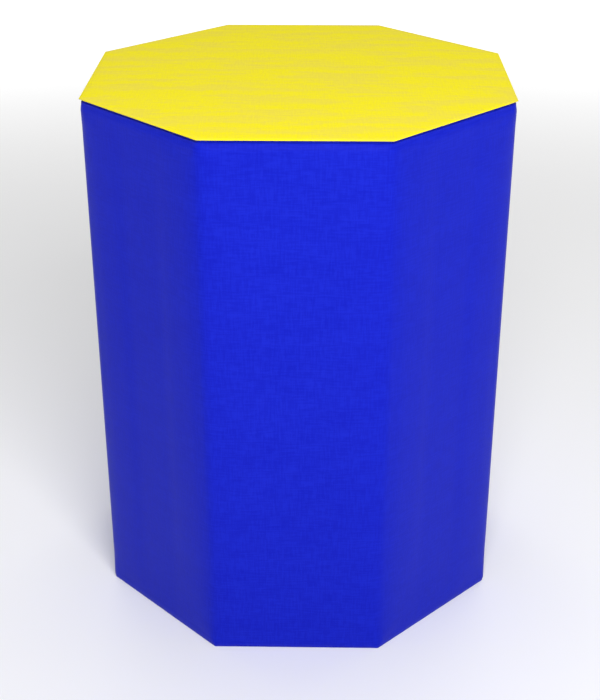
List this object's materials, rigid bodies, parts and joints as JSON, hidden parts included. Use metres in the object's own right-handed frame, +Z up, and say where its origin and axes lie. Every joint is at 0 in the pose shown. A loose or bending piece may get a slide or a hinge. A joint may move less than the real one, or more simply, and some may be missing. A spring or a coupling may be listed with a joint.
{
  "type": "octagon tumbling mat",
  "caption": "Foam-filled octagonal tumbling mat in a zipped PVC cover: blue side wrap, yellow ends, and a rear zip with a travelling slider and a swinging pull tab.",
  "frame": {"origin": "centre of the base, on the mat's upright axis, at floor level", "axes": "+Z up along the mat's axis; -Y towards the plain front face that the picture shows; +Y towards the face with the zip; +X to the right seen from the front"},
  "size_m": [0.6, 0.6061, 0.8],
  "materials": {
    "blue_pvc": "satin",
    "yellow_pvc": "satin",
    "zip_tape": "matte",
    "zip_teeth": "satin",
    "zip_metal": "satin",
    "vent_metal": "satin",
    "spunbond": "matte",
    "foam": "matte"
  },
  "bodies": {
    "mat": {"side_wrap": "blue_pvc", "top_end_panel": "yellow_pvc", "bottom_end_panel": "yellow_pvc", "zip_tape_left": "zip_tape", "zip_tape_right": "zip_tape", "zip_teeth_left": "zip_teeth", "zip_teeth_right": "zip_teeth", "zip_top_stop_left": "zip_metal", "zip_top_stop_right": "zip_metal", "zip_bottom_stop": "zip_metal", "zip_guard_strip": "blue_pvc", "zip_end_patch_top": "blue_pvc", "zip_end_patch_bottom": "blue_pvc", "vent_eyelet_1": "vent_metal", "vent_eyelet_2": "vent_metal", "vent_eyelet_3": "vent_metal", "vent_eyelet_4": "vent_metal", "vent_washer_1": "vent_metal", "vent_washer_2": "vent_metal", "vent_washer_3": "vent_metal", "vent_washer_4": "vent_metal", "slip_liner": "spunbond", "foam_slab_1": "foam", "foam_slab_2": "foam", "foam_slab_3": "foam", "foam_slab_4": "foam", "foam_slab_5": "foam", "foam_slab_6": "foam", "foam_slab_7": "foam", "foam_slab_8": "foam"},
    "slider": {"zip_slider": "zip_metal"},
    "pull": {"zip_pull": "zip_metal"}
  },
  "joints": [
    {"name": "zip_slide", "type": "slide", "parent": "mat", "child": "slider", "axis": [0, 0, -1], "range_m": [0, 0.657], "deforming": ["zip_teeth_left", "zip_teeth_right"]},
    {"name": "pull_swing", "type": "hinge", "parent": "slider", "child": "pull", "pos_m": [0, 0.30295, 0.732], "axis": [1, 0, 0], "range_deg": [0, 178]}
  ]
}
